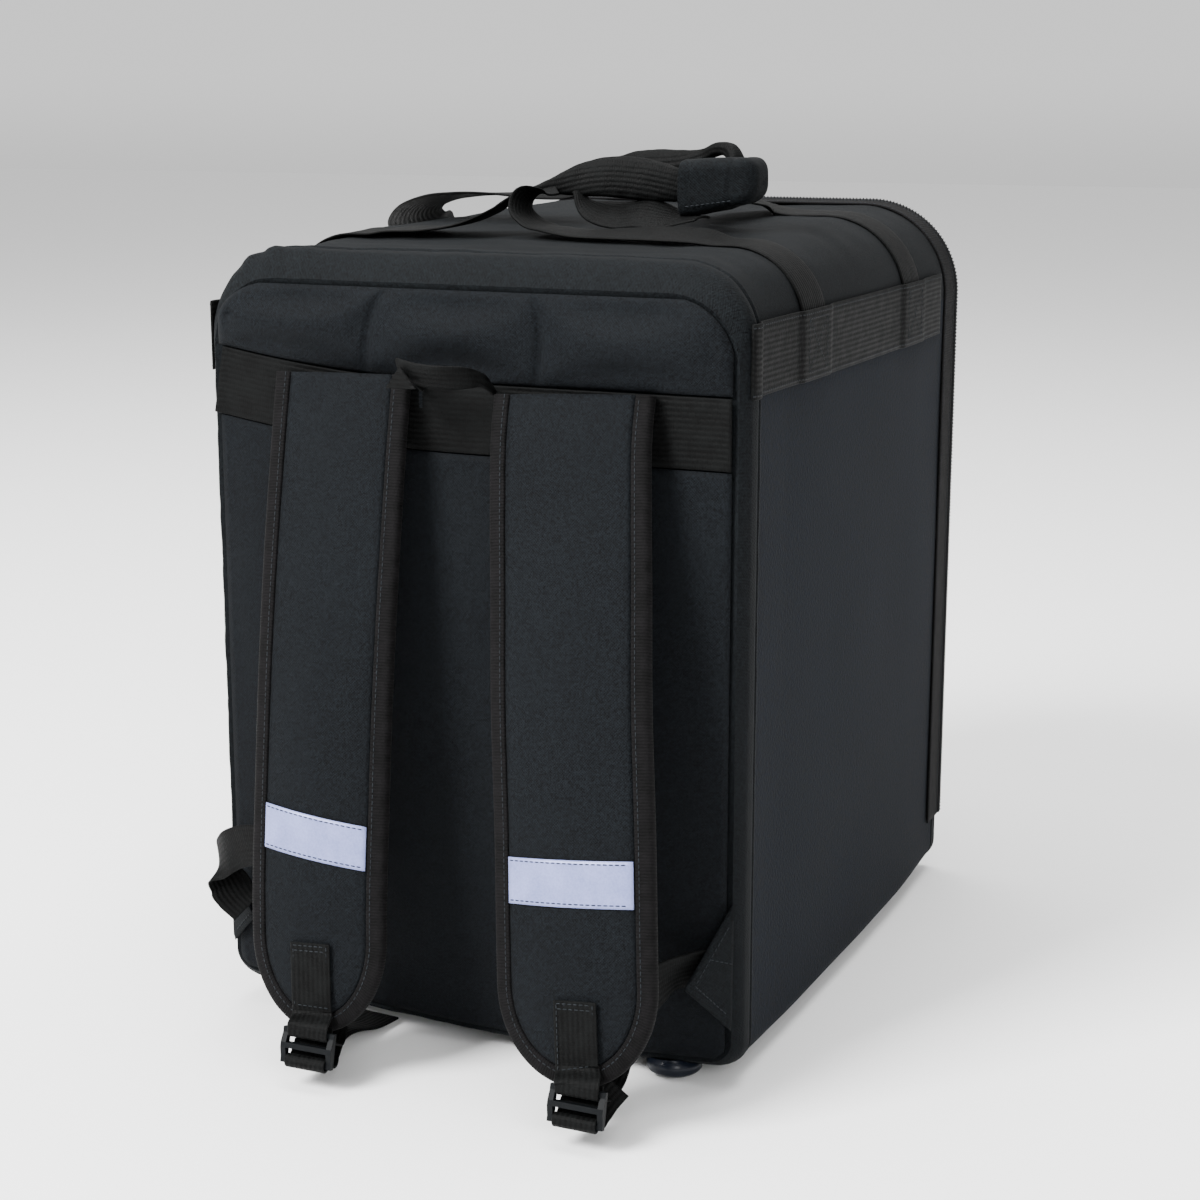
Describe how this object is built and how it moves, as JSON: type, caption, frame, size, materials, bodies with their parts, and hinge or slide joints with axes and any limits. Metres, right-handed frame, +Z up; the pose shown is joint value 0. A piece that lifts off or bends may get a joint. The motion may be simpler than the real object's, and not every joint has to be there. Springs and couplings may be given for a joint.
{
  "type": "insulated delivery backpack",
  "caption": "Rigid box backpack for carried food, with shoulder straps, top handles, ladder-lock adjusters, zip-round door and domed feet.",
  "frame": {"origin": "middle of the bounding box on the ground plane, at the height where the feet touch the floor", "axes": "+Z up; +Y from the back panel that meets the wearer towards the zip door; +X to the right of someone facing the shoulder straps"},
  "size_m": [0.3498, 0.521, 0.5164],
  "materials": {
    "woven_polyester": "plain weave, matte",
    "padded_mesh_cloth": "padded weave, matte",
    "strap_cloth": "padded weave, matte",
    "binding_tape": "ribbed binding tape",
    "flap_cloth": "coated weave, satin",
    "webbing": "ribbed webbing",
    "reflective_tape": "retroreflective, satin",
    "zip_cloth": "fine weave",
    "zip_teeth": "moulded coil",
    "buckle_plastic": "moulded, low gloss",
    "foot_rubber": "smooth, glossy"
  },
  "bodies": {
    "root": {"adjuster_webbing_left": "webbing", "adjuster_webbing_right": "webbing", "back_pad_lower": "padded_mesh_cloth", "back_pad_upper": "padded_mesh_cloth", "back_webbing": "webbing", "corner_tab_left": "flap_cloth", "corner_tab_right": "flap_cloth", "foot_back_left": "foot_rubber", "foot_back_right": "foot_rubber", "foot_front_left": "foot_rubber", "foot_front_right": "foot_rubber", "front_door": "woven_polyester", "grab_loop": "webbing", "handle_far_left": "webbing", "handle_far_right": "webbing", "handle_fold": "webbing", "handle_grip_far": "webbing", "handle_grip_near": "webbing", "handle_near_left": "webbing", "handle_near_right": "webbing", "handle_wrap": "flap_cloth", "ladder_lock_left": "buckle_plastic", "ladder_lock_right": "buckle_plastic", "reflective_strip_left": "reflective_tape", "reflective_strip_right": "reflective_tape", "shell": "woven_polyester", "shoulder_strap_left": "strap_cloth", "shoulder_strap_right": "strap_cloth", "side_webbing_left": "webbing", "side_webbing_right": "webbing", "strap_binding_left": "binding_tape", "strap_binding_right": "binding_tape", "strap_tab_left": "webbing", "strap_tab_right": "webbing", "zip_coil": "zip_teeth", "zip_slider": "buckle_plastic", "zip_tape": "zip_cloth"}
  },
  "joints": []
}
